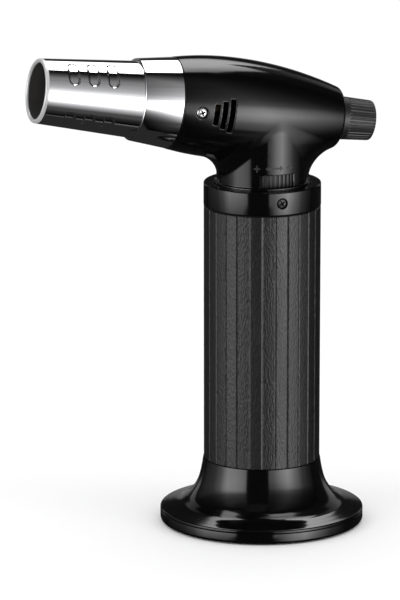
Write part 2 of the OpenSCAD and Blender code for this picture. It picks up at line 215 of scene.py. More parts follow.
def lathe(name, profile, seg=192, matrix=UP, shift=None):
    """Revolves a closed outline of (radius, height).

    shift(radius, height, angle) may move points out or in.
    """
    prof = np.array(profile, float)
    n = len(prof)
    ang = np.arange(seg) * TAU / seg
    r = np.repeat(prof[:, 0][None], seg, 0)
    z = np.repeat(prof[:, 1][None], seg, 0)
    a = np.repeat(ang[:, None], n, 1)
    if shift is not None:
        r = np.where(r > 1e-6, r + shift(r, z, a), r)
    verts = np.stack([r * np.cos(a), r * np.sin(a), z], -1).reshape(-1, 3)
    faces = []
    for i in range(seg):
        j = (i + 1) % seg
        for k in range(n):
            q = (k + 1) % n
            if prof[k, 0] < 1e-6 and prof[q, 0] < 1e-6:
                continue
            f = [i * n + k, j * n + k, j * n + q, i * n + q]
            if prof[k, 0] < 1e-6:
                f = [i * n + k, j * n + q, i * n + q]
            elif prof[q, 0] < 1e-6:
                f = [i * n + k, j * n + k, i * n + q]
            faces.append(f)
    return build(name, verts, faces, matrix)


BLOCK_FACES = [[0, 3, 2, 1], [4, 5, 6, 7], [0, 1, 5, 4], [1, 2, 6, 5], [2, 3, 7, 6], [3, 0, 4, 7]]


def block(x, y, z, matrix=UP):
    """A box from its ranges along X, Y and Z, for cutting."""
    verts = [(x[i], y[j], z[k]) for k in (0, 1) for i, j in ((0, 0), (1, 0), (1, 1), (0, 1))]
    return build("block", verts, BLOCK_FACES, matrix)


def cut(obj, *cutters, operation="DIFFERENCE"):
    """Cuts obj with each cutter, and drops the cutters."""
    for c in cutters:
        mod = obj.modifiers.new("cut", "BOOLEAN")
        mod.operation, mod.object, mod.solver = operation, c, "MANIFOLD"
        dg = bpy.context.evaluated_depsgraph_get()
        mesh = bpy.data.meshes.new_from_object(obj.evaluated_get(dg))
        obj.modifiers.clear()
        old, obj.data = obj.data, mesh
        mesh.name = old.name
        bpy.data.meshes.remove(old)
        bpy.data.objects.remove(c)
    shade(obj.data)
    return obj


def merge(name, objs):
    """Joins objects into one mesh."""
    bm = bmesh.new()
    for o in objs:
        bm.from_mesh(o.data)
    mesh = bpy.data.meshes.new(name)
    bm.to_mesh(mesh)
    bm.free()
    for o in objs:
        bpy.data.objects.remove(o)
    shade(mesh)
    return add_object(name, mesh)


def place(obj, slot, body, *nodes, inside=None):
    """Gives a piece its material and body, and puts it in place of its CAD nodes.

    inside names a second material, for faces that are picked out later.
    """
    obj.data.materials.clear()
    obj.data.materials.append(MATERIALS[slot])
    if inside:
        obj.data.materials.append(MATERIALS[inside])
    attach(obj, body)
    if nodes:
        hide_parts(*nodes)
    return obj


# ---------------------------------------------------------------- materials
# Sizes in mm of the slow wandering of roughness and colour
ROUGHNESS_PATCH, COLOUR_PATCH = 14.0, 5.0


def material(name, colour, rough, metallic=0.0, grain=0.35, bump=0.05, vary=0.05, coat=0.0,
             tone=0.12, stretch=(1, 1, 1), cells=None, sheen=0.0, level=0.5):
    """A Principled material with procedural variation.

    grain is the size of its texture in mm and bump its strength. cells is the size and strength of a
    moulded or cast cell texture. vary is how far the roughness wanders, and tone how far the colour does.
    """
    mat = bpy.data.materials.new(name)
    mat.use_nodes = True
    t = mat.node_tree
    t.nodes.clear()
    out = t.nodes.new("ShaderNodeOutputMaterial")
    b = t.nodes.new("ShaderNodeBsdfPrincipled")
    t.links.new(b.outputs[0], out.inputs[0])
    b.inputs["Metallic"].default_value = metallic
    b.inputs["Specular IOR Level"].default_value = level
    b.inputs["Coat Weight"].default_value = coat
    b.inputs["Coat Roughness"].default_value = 0.05
    b.inputs["Sheen Weight"].default_value = sheen
    where = t.nodes.new("ShaderNodeTexCoord")
    size = t.nodes.new("ShaderNodeMapping")
    size.inputs["Scale"].default_value = stretch
    t.links.new(where.outputs["Object"], size.inputs["Vector"])

    def noise(scale_mm, detail):
        """Noise with features of about scale_mm."""
        n = t.nodes.new("ShaderNodeTexNoise")
        n.inputs["Scale"].default_value = 1 / (scale_mm * MM)
        n.inputs["Detail"].default_value = detail
        t.links.new(size.outputs["Vector"], n.inputs["Vector"])
        return n.outputs["Fac"]

    def bumps(height, strength, depth_mm, under=None):
        """A normal bent by a height, on top of the normal under."""
        n = t.nodes.new("ShaderNodeBump")
        n.inputs["Strength"].default_value = strength
        n.inputs["Distance"].default_value = depth_mm * MM
        t.links.new(height, n.inputs["Height"])
        if under:
            t.links.new(under, n.inputs["Normal"])
        return n.outputs["Normal"]

    ramp = t.nodes.new("ShaderNodeMapRange")
    ramp.inputs["From Min"].default_value = 0.3
    ramp.inputs["From Max"].default_value = 0.7
    ramp.inputs["To Min"].default_value = max(0.0, rough - vary)
    ramp.inputs["To Max"].default_value = rough + vary
    t.links.new(noise(ROUGHNESS_PATCH, 3), ramp.inputs["Value"])
    t.links.new(ramp.outputs["Result"], b.inputs["Roughness"])
    mix = t.nodes.new("ShaderNodeMix")
    mix.data_type = "RGBA"
    mix.inputs["A"].default_value = (*[c * (1 - tone) for c in colour], 1)
    mix.inputs["B"].default_value = (*[min(1, c * (1 + tone)) for c in colour], 1)
    t.links.new(noise(COLOUR_PATCH, 4), mix.inputs["Factor"])
    t.links.new(mix.outputs["Result"], b.inputs["Base Color"])
    normal = bumps(noise(grain, 2), bump, grain * 0.4)
    if cells:
        w = t.nodes.new("ShaderNodeTexVoronoi")
        w.inputs["Scale"].default_value = 1 / (cells[0] * MM)
        t.links.new(size.outputs["Vector"], w.inputs["Vector"])
        normal = bumps(w.outputs["Distance"], cells[1], cells[0] * 0.5, normal)
    t.links.new(normal, b.inputs["Normal"])
    return mat


MATERIALS = {
    "gloss_black": material("gloss_black", (0.0016, 0.0016, 0.0018), 0.1,
                            grain=6.0, bump=0.01, vary=0.02),
    "matte_grip": material("matte_grip", (0.0075, 0.0075, 0.008), 0.36,
                           grain=0.6, bump=0.4, cells=(0.5, 0.25), stretch=(1, 1, 0.35)),
    "dark_grey": material("dark_grey", (0.012, 0.012, 0.0125), 0.36, grain=0.8, bump=0.1),
    "chrome": material("chrome", (0.9, 0.9, 0.92), 0.045,
                       metallic=1.0, grain=1.4, bump=0.006, vary=0.015, tone=0.02),
    "brass": material("brass", (0.24, 0.15, 0.055), 0.42,
                      metallic=1.0, grain=0.3, bump=0.1, stretch=(1, 1, 6)),
    # Brass darkened to stand for the shade inside the head: painted shade on the mixing tube, seen through the
    # cooling slots
    "shade_darkened_brass": material("shade_darkened_brass", (0.05, 0.034, 0.016), 0.5,
                              metallic=0.8, grain=0.4, bump=0.1),
    "bright_steel": material("bright_steel", (0.82, 0.82, 0.82), 0.34,
                             metallic=1.0, grain=0.4, bump=0.04),
    "black_steel": material("black_steel", (0.02, 0.02, 0.021), 0.2,
                            metallic=0.5, grain=0.4, bump=0.06),
    "burner_steel": material("burner_steel", (0.1, 0.095, 0.093), 0.45,
                             metallic=0.6, grain=0.5, bump=0.12, tone=0.3),
    "lip_steel": material("lip_steel", (0.6, 0.6, 0.6), 0.36, metallic=0.4, grain=0.4, bump=0.05),
    # Dark dull steel for the insides of the screw recesses: painted shade
    "recess": material("recess", (0.012, 0.012, 0.012), 0.6, grain=0.4, level=0.2),
    "rubber": material("rubber", (0.02, 0.02, 0.02), 0.68, grain=0.5, bump=0.25),
    "tank_plastic": material("tank_plastic", (0.72, 0.7, 0.62), 0.3,
                             grain=3.0, bump=0.05, tone=0.05),
    "white_ceramic": material("white_ceramic", (0.83, 0.8, 0.72), 0.22,
                              grain=1.0, coat=0.4, tone=0.06),
    "wick": material("wick", (0.8, 0.77, 0.68), 0.9,
                     grain=0.35, bump=0.6, stretch=(1, 1, 0.3), sheen=0.3),
    "hose": material("hose", (0.34, 0.31, 0.28), 0.6, grain=0.5, bump=0.4, stretch=(1, 1, 2)),
    "lead_red": material("lead_red", (0.4, 0.02, 0.02), 0.4, grain=0.8),
    "spring_steel": material("spring_steel", (0.6, 0.6, 0.61), 0.24, metallic=1.0, grain=0.3),
    "piezo_case": material("piezo_case", (0.75, 0.72, 0.66), 0.45, grain=0.7, bump=0.1),
    "mark_grey": material("mark_grey", (0.016, 0.016, 0.0165), 0.45, grain=0.3, bump=0.08),
}
slot_of = {s["node"]: s["material_slot"] for s in frame["record"]["subparts"]}
# The mixing tube gets the darkened brass: painted shade where it shows through the cooling slots
for node, obj in frame["nodes"].items():
    obj.data.materials.clear()
    obj.data.materials.append(MATERIALS["shade_darkened_brass" if node == "mixing_tube" else slot_of[node]])


def sideways(z, side, axis=UP):
    """A matrix whose local Z points out of the side that side (1 or -1) picks, at height z on axis."""
    return axis @ Matrix.Translation((0, 0, z)) @ Matrix.Rotation(math.radians(90 * side), 4, "X")


def bore(r, start, end, matrix=UP):
    """A round cutter from start to end along local Z."""
    return lathe("bore", [(0, start), (r, start), (r, end), (0, end)], 96, matrix)


# ---------------------------------------------------------------- foot
# Half of the seam between the rim and the shell, and where the rim's screws stand
RIM_GAP = 0.05
BASE_SCREW_CIRCLE = 20.5
BASE_SCREW_BORE = 1.5


def foot_shell():
    """Trumpet-shaped foot with a rounded brim and a plate inside."""
    brim = spline([(34.6, 5.98), (33.4, 6.3), (30.4, 7.2), (28.2, 8.6), (26.6, 9.8), (25.2, 11.4),
                   (23.9, 13.5), (22.9, 15.8), (22.2, 18.4), (21.65, 21.15), (21.25, FOOT_TOP)], 6)
    under = RIM_H + RIM_GAP
    edge = rounded([(33.8, under), (FOOT_R, under), (FOOT_R, 5.45), (34.6, 5.98)],
                   [0.1, 0.12, 0.75, 0], 6)
    inside = [(18.95, FOOT_TOP), (18.95, 21.8), (7.6, 21.8), (7.6, 19.6), (19.2, 19.6),
              (20.2, 15.5), (21.4, 11), (23.8, 7.9), (27.6, 5.9), (33.4, 4.9)]
    return lathe("foot_shell_piece", edge[:-1] + brim + inside, 256)


def base_rim():
    """Ring under the foot, with a groove for the rubber tread and three screw holes."""
    outline = [(16, 2.4), (26, 2.4), (26, 0.6), (27.9, 0.6), (27.9, 1.9), (33.6, 1.9), (33.6, 0.6),
               (FOOT_R - 0.35, 0.6), (FOOT_R, 1.4), (FOOT_R, RIM_H - RIM_GAP), (16, RIM_H - RIM_GAP)]
    radii = [0.2, 0.3, 0.3, 0.1, 0.1, 0.1, 0.1, 0.4, 0.5, 0.3, 0.2]
    rim = lathe("base_rim_piece", rounded(outline, radii), 256)
    for degrees in (30, 150, 270):
        a = math.radians(degrees)
        x, y = BASE_SCREW_CIRCLE * math.cos(a), BASE_SCREW_CIRCLE * math.sin(a)
        cut(rim, bore(BASE_SCREW_BORE, 0, 8, Matrix.Translation((x, y, 0))))
    return rim


def tread():
    """Rubber ring that the torch stands on."""
    outline = [(28, 0.0), (33.5, 0.0), (33.5, 1.85), (28, 1.85)]
    return lathe("anti_slip_ring_piece", rounded(outline, [0.5, 0.5, 0.1, 0.1], 4), 192)


place(foot_shell(), "gloss_black", "torch", "foot_shell")
place(base_rim(), "gloss_black", "torch", "base_rim")
place(tread(), "rubber", "torch", "anti_slip_ring")


# ---------------------------------------------------------------- grip
# How far the flats bow out, as a share of the radius, and where along each flat its points lie
BOW = 0.012
FLAT_STEPS = (0.04, 0.14, 0.32, 0.5, 0.68, 0.86, 0.96)


def grip_outline():
    """Outline of the grip at its middle: slightly bowed flats with a fine groove between each two."""
    pitch = TAU / FLATS
    half = pitch / 2 - math.radians(0.75)
    corner = GRIP_R / math.cos(half)
    points = []
    for i in range(FLATS):
        mid = -math.pi / 2 + i * pitch
        a, b = (corner * np.array([math.cos(mid + e), math.sin(mid + e)]) for e in (-half, half))
        groove = (GRIP_R - 0.1) * np.array([math.cos(mid + pitch / 2), math.sin(mid + pitch / 2)])
        flat = [(a + (b - a) * t) * (1 + BOW * t * (1 - t)) for t in FLAT_STEPS]
        points += [a * 0.997] + flat + [b * 0.997, groove]
    return np.array(points)


def grip_sleeve():
    """Ribbed sleeve round the tank, with small chamfers at both ends."""
    outline = grip_outline()
    n = len(outline)
    height = SEAM - GRIP_BOTTOM
    heights = [0, 0.3] + [0.3 + (height - 0.8) * k / 12 for k in range(1, 12)] + [height - 0.5, height]
    verts, faces = [], []
    for h in heights:
        taper = 1 + 0.004 * (h / height - 0.7)
        inset = {0: 0.988, height: 0.976}.get(h, 1)
        verts += [(x * taper * inset, y * taper * inset, GRIP_BOTTOM + h) for x, y in outline]
    for j in range(len(heights) - 1):
        for i in range(n):
            k = (i + 1) % n
            faces.append([j * n + i, j * n + k, (j + 1) * n + k, (j + 1) * n + i])
    inner = len(verts)
    for z in (GRIP_BOTTOM, SEAM):
        for x, y in outline:
            q = (TANK_R + 0.1) / math.hypot(x, y)
            verts.append((x * q, y * q, z))
    top = (len(heights) - 1) * n
    for i in range(n):
        k = (i + 1) % n
        faces.append([i, inner + i, inner + k, k])
        faces.append([top + i, top + k, inner + n + k, inner + n + i])
        faces.append([inner + i, inner + n + i, inner + n + k, inner + k])
    return build("grip_sleeve_piece", verts, faces, sharp=9)


place(grip_sleeve(), "matte_grip", "torch", "grip_sleeve")


# ---------------------------------------------------------------- screws
def cross_screw(r, t, shank_r, length, matrix, turn):
    """A pan-head screw with a tapered cross recess, turned by turn degrees.

    r and t are its head's radius and height. Local Z points out of its head.
    """
    outline = [(0, -length), (shank_r * 0.7, -length), (shank_r, -length + 0.6), (shank_r, 0), (r, 0),
               (r, t * 0.45), (r * 0.72, t * 0.86), (0, t)]
    head = lathe("screw", rounded(outline, [0, 0.1, 0.2, 0.05, 0.12, 0.35, 1.2, 0]), 64, matrix)
    for q in (0, 90):
        verts = []
        for z, k in ((-t * 0.75, 0.35), (t * 1.5, 1.1)):
            x, w = r * 0.64 * k, r * 0.17 * (0.6 + 0.4 * k)
            verts += [(-x, -w, z), (x, -w, z), (x, w, z), (-x, w, z)]
        arm = matrix @ Matrix.Rotation(math.radians(q + turn), 4, "Z")
        cut(head, build("recess", verts, BLOCK_FACES, arm))
    return head


# ---------------------------------------------------------------- collar
COLLAR_SEAT = COLLAR_R - 1.25
COLLAR_HEAD_BORE, COLLAR_SHANK_BORE = 2.1, 1.4


def collar_ring():
    """Ring over the top of the grip, with a sunk seat for a screw on each side."""
    lip_z = COLLAR_TOP - 1.7
    top = COLLAR_TOP + 0.2
    outline = [(TANK_R + 0.15, SEAM), (COLLAR_R, SEAM), (COLLAR_R, top),
               (NECK_R + 0.7, top), (NECK_R + 0.4, lip_z), (TANK_R + 0.15, lip_z)]
    ring = lathe("collar_ring_piece", rounded(outline, [0.1, 0.45, 0.5, 0.25, 0.1, 0.1], 7), 320)
    for side in (1, -1):
        cut(ring, bore(COLLAR_HEAD_BORE, COLLAR_SEAT, 40, sideways(SCREW_Z, side)))
        cut(ring, bore(COLLAR_SHANK_BORE, 12, 21, sideways(SCREW_Z, side)))
    return ring


def collar_screws():
    """The two screws of the collar."""
    seat = Matrix.Translation((0, 0, COLLAR_SEAT))
    seats = [sideways(SCREW_Z, side) @ seat for side in (1, -1)]
    return merge("collar_screws_piece", [cross_screw(2.0, 0.9, 1.25, 5, m, 32) for m in seats])


place(collar_ring(), "gloss_black", "torch", "collar_ring")
place(collar_screws(), "black_steel", "torch", "collar_screws")


# ---------------------------------------------------------------- head shells
NOZZLE_SEAT = float(head_radius(SCREW_S)) - 1.0
NOZZLE_HEAD_BORE = 2.15
SHANK_BORE = 1.3
CASE_HEAD_BORE = 2.2
CASE_SCREW_SINK = 1.6
VENT_HALF_WIDTH, VENT_EDGE, VENT_FLOOR = 0.62, 0.3, 11.5
WINDOW_FLOOR = 15.0
# Corner radii where the outside of the head turns
BACK_ROUND, FRONT_ROUND, VENT_ROUND, SEAT_ROUND, WINDOW_ROUND = 1.3, 0.3, 0.36, 0.22, 0.2
# The fillet between neck and head: its least radius, and what it gains towards the nozzle and the button
FILLET, FILLET_NOZZLE, FILLET_BUTTON = 0.4, 7.0, 9.5


def round_max(a, b, r):
    """Intersection of two fields, its edge rounded by r."""
    u, v = np.maximum(a + r, 0), np.maximum(b + r, 0)
    return np.minimum(np.maximum(a, b), -r) + np.sqrt(u * u + v * v)


def round_min(a, b, r):
    """Union of two fields, its inner corner filled by r."""
    return -round_max(-a, -b, r)


def vent_field(s, u, y, at, length):
    """One cooling slot: a round-cornered slit through both sides of the head."""
    a, b = np.abs(s - at) - VENT_HALF_WIDTH, np.abs(u + 0.2) - (length / 2 - VENT_EDGE)
    slit = np.hypot(np.maximum(a, 0), np.maximum(b, 0)) + np.minimum(np.maximum(a, b), 0) - VENT_EDGE
    return np.maximum(slit, VENT_FLOOR - np.abs(y))


def head_field(p):
    """Distance, nearly, to the outside of the head, neck and flange, in mm: negative inside."""
    x, y, z = p[..., 0], p[..., 1], p[..., 2]
    s = -x * COS + (z - HEAD_Z) * SIN
    u = x * SIN + (z - HEAD_Z) * COS
    near = np.clip(s, -34, 40)
    slope = -0.0084 * (near - WIDEST)
    body = (np.hypot(u, y) - head_radius(near)) / np.sqrt(1 + slope ** 2)
    body = round_max(body, BACK - s, BACK_ROUND)
    body = round_max(body, s - FRONT, FRONT_ROUND)
    r = np.hypot(x, y)
    flare = NECK_R - 0.35 + 0.015 * np.clip(z - COLLAR_TOP, 0, 20)
    neck = np.maximum(r - flare, u + 0.3)
    ends = np.clip((x / np.maximum(r, 1e-6)) ** 2, 0, 1)
    below = np.clip(-u / 9, 0, 1)
    gain = ends * below * below * (3 - 2 * below) * np.where(x < 0, FILLET_NOZZLE, FILLET_BUTTON)
    both = round_min(body, neck, FILLET + gain)
    lip = round_max(r - NECK_R - 0.4, z - COLLAR_TOP - 0.85, 0.28)
    both = round_min(both, lip, 0.3)
    both = np.maximum(both, COLLAR_TOP - 1.75 - z)
    for at, length in VENTS:
        both = round_max(both, -vent_field(s, u, y, at, length), VENT_ROUND)
    seat = np.maximum(np.hypot(s - SCREW_S, u) - NOZZLE_HEAD_BORE, NOZZLE_SEAT - np.abs(y))
    both = round_max(both, -seat, SEAT_ROUND)
    across = np.abs(np.arctan2(x, -y)) * r - WINDOW_HALF
    tall = np.abs(z - (DIAL_Z + DIAL_TOP) / 2) - (DIAL_TOP - DIAL_Z) / 2 + 0.05
    window = np.maximum(np.maximum(across, tall), WINDOW_FLOOR - r)
    both = round_max(both, -window, WINDOW_ROUND)
    flange = round_max(r - TANK_R + 0.1, np.abs(z - SCREW_Z) - 2.1, 0.2)
    return np.minimum(both, flange)


def gradient(p):
    """Slope of head_field at each point."""
    e = 0.02
    g = np.zeros_like(p)
    for k in range(3):
        d = np.zeros(3)
        d[k] = e
        g[:, k] = (head_field(p + d) - head_field(p - d)) / (2 * e)
    return g


def surface(lo, hi, h, block=12):
    """Closed quad mesh of head_field's zero level between corners lo and hi, with cells of size h.

    Each cell that the surface crosses gets one point, which is then moved onto the surface. Whole blocks
    of cells that the surface can't reach are skipped.
    """
    lo = np.array(lo, float)
    dims = np.ceil((np.array(hi) - lo) / h / block).astype(int) * block
    field = np.empty(dims + 1, np.float32)
    reach = block * h * math.sqrt(3) / 2 * 1.25
    idx = [np.arange(0, d, block) for d in dims]
    for i in idx[0]:
        for j in idx[1]:
            cen = np.stack([np.full(len(idx[2]), lo[0] + (i + block / 2) * h),
                            np.full(len(idx[2]), lo[1] + (j + block / 2) * h),
                            lo[2] + (idx[2] + block / 2) * h], -1)
            mid = head_field(cen)
            for k, f in zip(idx[2], mid):
                sl = (slice(i, i + block + 1), slice(j, j + block + 1), slice(k, k + block + 1))
                if abs(f) > reach:
                    field[sl] = f
                    continue
                lines = [lo[a] + np.arange(sl[a].start, sl[a].stop) * h for a in range(3)]
                g = np.stack(np.meshgrid(*lines, indexing="ij"), -1)
                field[sl] = head_field(g)
    inside = field < 0
    # cells that the surface crosses
    corners = [(a, b, c) for a in (0, 1) for b in (0, 1) for c in (0, 1)]
    count = np.zeros(dims, np.int8)
    for a, b, c in corners:
        count += inside[a:dims[0] + a, b:dims[1] + b, c:dims[2] + c]
    cells = np.argwhere((count > 0) & (count < 8))
    number = -np.ones(dims, np.int64)
    number[tuple(cells.T)] = np.arange(len(cells))
    total, weight = np.zeros((len(cells), 3)), np.zeros(len(cells))
    for a in corners:
        for k in range(3):
            if a[k]:
                continue
            b = list(a)
            b[k] = 1
            fa = field[tuple((cells + a).T)].astype(float)
            fb = field[tuple((cells + b).T)].astype(float)
            hit = (fa < 0) != (fb < 0)
            t = np.where(hit, fa / np.where(hit, fa - fb, 1), 0)
            point = cells + np.array(a) + t[:, None] * np.eye(3)[k]
            total[hit] += point[hit]
            weight[hit] += 1
    verts = lo + total / weight[:, None] * h
    faces = []
    for k in range(3):
        o = [d for d in range(3) if d != k]
        sl0, sl1 = [slice(None)] * 3, [slice(None)] * 3
        sl0[k], sl1[k] = slice(0, -1), slice(1, None)
        cross = inside[tuple(sl0)] != inside[tuple(sl1)]
        at = np.argwhere(cross)
        ok = np.ones(len(at), bool)
        for d in o:
            ok &= (at[:, d] > 0) & (at[:, d] < dims[d])
        at = at[ok]
        d0, d1 = np.zeros(3, int), np.zeros(3, int)
        d0[o[0]], d1[o[1]] = 1, 1
        q = np.stack([number[tuple(c.T)] for c in (at - d0 - d1, at - d1, at, at - d0)], -1)
        flip = inside[tuple(at.T)] ^ (k == 1)
        q[flip] = q[flip][:, ::-1]
        faces.append(q)
    faces = np.concatenate(faces)
    for _ in range(4):
        g = gradient(verts)
        step = head_field(verts) / np.maximum((g * g).sum(1), 0.1)
        step = np.clip(step, -0.3 * h, 0.3 * h)
        verts = verts - g * step[:, None]
    return verts, faces


# Corners of the space that holds the outside of the head
HEAD_LOW, HEAD_HIGH = (-39.3, -19.9, 118.9), (31.9, 19.9, 175.3)


def head_outside():
    """Both halves of the head in one: the outside, cut out for what it holds."""
    cell = 0.32
    verts, faces = surface(HEAD_LOW, HEAD_HIGH, cell)
    head = build("head_outside", verts, faces.tolist(), sharp=180)
    wall = [(float(head_radius(s)) - 2.0, float(s)) for s in np.arange(-17.5, 24.0, 2.0)]
    cut(head, lathe("cavity", [(0, -34), (8.1, -34), (8.1, -24.4), (9.4, -24.4), (9.4, -19)] + wall
                    + [(14.95, 24.8), (14.95, 40), (0, 40)], 96, AXIS))
    cut(head, bore(NECK_BORE, 110, 150), bore(DIAL_R + 0.25, DIAL_Z - 0.1, DIAL_TOP + 0.1))
    for side in (1, -1):
        cut(head, bore(SHANK_BORE, 8, 18, sideways(SCREW_S, side, AXIS)),
            bore(SHANK_BORE, 8, 20, sideways(SCREW_Z, side)))
    return head


def case_matrix(at):
    """Where a case screw goes in, from the right side: at is (station, height over the axis)."""
    return AXIS @ Matrix.Translation((at[1], 0, at[0])) @ Matrix.Rotation(math.radians(-90), 4, "X")


def case_seat(at):
    """How far out the head of a case screw sits."""
    return math.sqrt(float(head_radius(at[0])) ** 2 - at[1] ** 2) - CASE_SCREW_SINK


def field_normals(mesh):
    """Gives the outside its true smooth normals, and leaves every cut face flat."""
    co = np.zeros(len(mesh.vertices) * 3)
    mesh.vertices.foreach_get("co", co)
    co = co.reshape(-1, 3) / MM
    corner_vert = np.zeros(len(mesh.loops), int)
    mesh.loops.foreach_get("vertex_index", corner_vert)
    size = np.zeros(len(mesh.polygons), int)
    mesh.polygons.foreach_get("loop_total", size)
    face_normal = np.zeros(len(mesh.polygons) * 3)
    mesh.polygons.foreach_get("normal", face_normal)
    owner = np.repeat(np.arange(len(size)), size)
    g = gradient(co)
    g /= np.maximum(np.linalg.norm(g, axis=1), 1e-9)[:, None]
    smooth, flat = g[corner_vert], face_normal.reshape(-1, 3)[owner]
    outside = (np.abs(head_field(co)) < 0.04)[corner_vert] & ((smooth * flat).sum(1) > 0.55)
    cut_face = np.zeros(len(size), bool)
    np.logical_or.at(cut_face, owner, ~outside)
    normals = np.where(cut_face[owner][:, None], flat, smooth)
    mesh.normals_split_custom_set(normals.tolist())


def head_half(name, whole, side):
    """The half of the head on one side (1 or -1) of the plane y = 0."""
    obj = add_object(name, whole.data.copy())
    y = (0.05, 60) if side > 0 else (-60, -0.05)
    cut(obj, block((-60, 60), y, (100, 200)), operation="INTERSECT")
    if side > 0:
        for at in CASE_SCREWS:
            cut(obj, bore(CASE_HEAD_BORE, case_seat(at), 30, case_matrix(at)),
                bore(SHANK_BORE, 2, 20, case_matrix(at)))
    field_normals(obj.data)
    return obj


def nozzle_screw_seats():
    """Where the heads of the two nozzle screws sit."""
    seat = Matrix.Translation((0, 0, NOZZLE_SEAT))
    return [sideways(SCREW_S, side, AXIS) @ seat for side in (1, -1)]


def nozzle_screws():
    """The two bright screws that hold the nozzle."""
    screws = [cross_screw(1.95, 1.1, 1.15, 4.6, m, 27) for m in nozzle_screw_seats()]
    return merge("nozzle_screws_piece", screws)


def paint_recess_shade(screws, seats):
    """Gives the walls and the floor of each cross recess the second material, a dark dull one: painted shade."""
    reach = 1.42
    for seat in seats:
        inverse = seat.inverted()
        turn = inverse.to_3x3()
        for face in screws.data.polygons:
            c, n = inverse @ (face.center / MM), turn @ face.normal
            deep_or_upright = c.z < 0.5 or abs(n.z) < 0.6
            if math.hypot(c.x, c.y) < reach and -1 < c.z < 1.2 and deep_or_upright:
                face.material_index = 1


def shell_screws():
    """The three screws that hold the halves of the head together."""
    screws = []
    for at in CASE_SCREWS:
        seat = case_seat(at)
        where = case_matrix(at) @ Matrix.Translation((0, 0, seat))
        screws.append(cross_screw(2.0, 1.0, 1.2, seat + 5, where, 15))
    return merge("shell_screws_piece", screws)


head = head_outside()
place(head_half("head_shell_left_piece", head, -1), "gloss_black", "torch", "head_shell_left")
place(head_half("head_shell_right_piece", head, 1), "gloss_black", "torch", "head_shell_right")
bpy.data.objects.remove(head)
# The bright screws' cross recesses get the dark recess material: painted shade
bright_screws = place(nozzle_screws(), "bright_steel", "torch", "nozzle_screws", inside="recess")
paint_recess_shade(bright_screws, nozzle_screw_seats())
place(shell_screws(), "black_steel", "torch", "shell_screws")


# ---------------------------------------------------------------- marks over the window
def raised(outline):
    """A flat raised mark on the neck: outline of (degrees from the middle of the window, height)."""
    sunk, lift = -0.25, 0.14
    points = np.array([(NECK_R * math.sin(math.radians(a)), -NECK_R * math.cos(math.radians(a)), z)
                       for _ in (0, 1) for a, z in outline])
    level = np.repeat([sunk, lift], len(outline))
    for _ in range(6):
        g = gradient(points)
        points -= g * ((head_field(points) - level) / np.maximum((g * g).sum(1), 0.1))[:, None]
    n = len(outline)
    faces = [[i, (i + 1) % n, n + (i + 1) % n, n + i] for i in range(n)]
    faces += [list(range(n - 1, -1, -1)), list(range(n, 2 * n))]
    return build("mark", points, faces)


def bar(a0, a1, z0, z1):
    """Outline of a bar, with enough points to follow the neck."""
    steps = max(1, int(abs(a1 - a0) / 2))
    angles = [a0 + (a1 - a0) * i / steps for i in range(steps + 1)]
    return [(a, z0) for a in angles] + [(a, z1) for a in angles[::-1]]


def flow_marks():
    """A plus, an arrow with two heads and a minus."""
    z = DIAL_TOP + 2.5
    outlines = [bar(-30.5, -22.5, z - 0.3, z + 0.3), bar(-27.5, -25.5, z + 0.31, z + 1.25),
                bar(-27.5, -25.5, z - 1.25, z - 0.31), bar(-12.0, 3.0, z - 0.26, z + 0.26),
                [(-12.1, z - 1.0), (-12.1, z + 1.0), (-16.0, z)],
                [(3.1, z + 1.0), (3.1, z - 1.0), (7.0, z)],
                bar(12.5, 20.0, z - 0.3, z + 0.3)]
    return merge("flow_marks_piece", [raised(o) for o in outlines])


marks = place(flow_marks(), "dark_grey", "torch")
marks.data.materials[0] = MATERIALS["mark_grey"]


# ---------------------------------------------------------------- dial
DIAL_RIBS, DIAL_RIB_DEPTH = 64, 0.5


def dial_ribs(r, z, a):
    """Fine ribs round the dial's edge, as a change of its radius."""
    rib = np.abs(((a * DIAL_RIBS / TAU) % 1) - 0.5) * 2
    depth = DIAL_RIB_DEPTH * np.clip((rib - 0.4) / 0.3, 0, 1) ** 1.4
    return np.where(r > DIAL_R - 0.3, -depth, 0.0)


def flow_dial():
    """Gas wheel: a ribbed rim, a web and a hub with a square hole."""
    floor, top = DIAL_Z + 1.2, DIAL_Z + 3.2
    outline = [(2.0, top), (2.0, floor), (13.4, floor), (13.4, DIAL_Z), (DIAL_R, DIAL_Z),
               (DIAL_R, DIAL_TOP), (13.4, DIAL_TOP), (13.4, top), (5.2, top), (5.2, DIAL_TOP),
               (2.0, DIAL_TOP)]
    radii = [0, 0, 0, 0.1, 0.2, 0.2, 0.1, 0, 0, 0.1, 0]
    dial = lathe("flow_dial_piece", rounded(outline, radii, 3), 768, shift=dial_ribs)
    return cut(dial, block((-2.85, 2.85), (-2.85, 2.85), (120, 140)))


place(flow_dial(), "dark_grey", "dial", "flow_dial")


# ---------------------------------------------------------------- nozzle
def nozzle_collar():
    """Bright sleeve between the head and the tube, with a rounded front lip."""
    outline = [(13.2, 25), (14.9, 25), (14.9, FRONT + 0.1), (16.4, FRONT + 0.1), (14.7, SLEEVE_FRONT),
               (TUBE_R + 0.05, SLEEVE_FRONT), (TUBE_R + 0.05, 40.1), (13.2, 40.1)]
    radii = [0.3, 0.3, 0.05, 0.2, 0.6, 0.1, 0.1, 0.1]
    sleeve = lathe("nozzle_collar_piece", rounded(outline, radii, 8), 320, AXIS)
    for side in (1, -1):
        cut(sleeve, bore(1.2, 8, 30, sideways(SCREW_S, side, AXIS)))
    return sleeve


LIP_R = 0.7
SLOTS = [75.8, 68.6, 61.4]
SLOT_HALF_WIDTH, SLOT_DEPTH, SLOT_WALL = 1.8, 0.3, 0.5
SLOT_ARC_HALF = math.radians(22)
SLOT_MIDDLES = [math.radians(side * 90 + tip * 46.8) for side in (-1, 1) for tip in (-1, 1)]


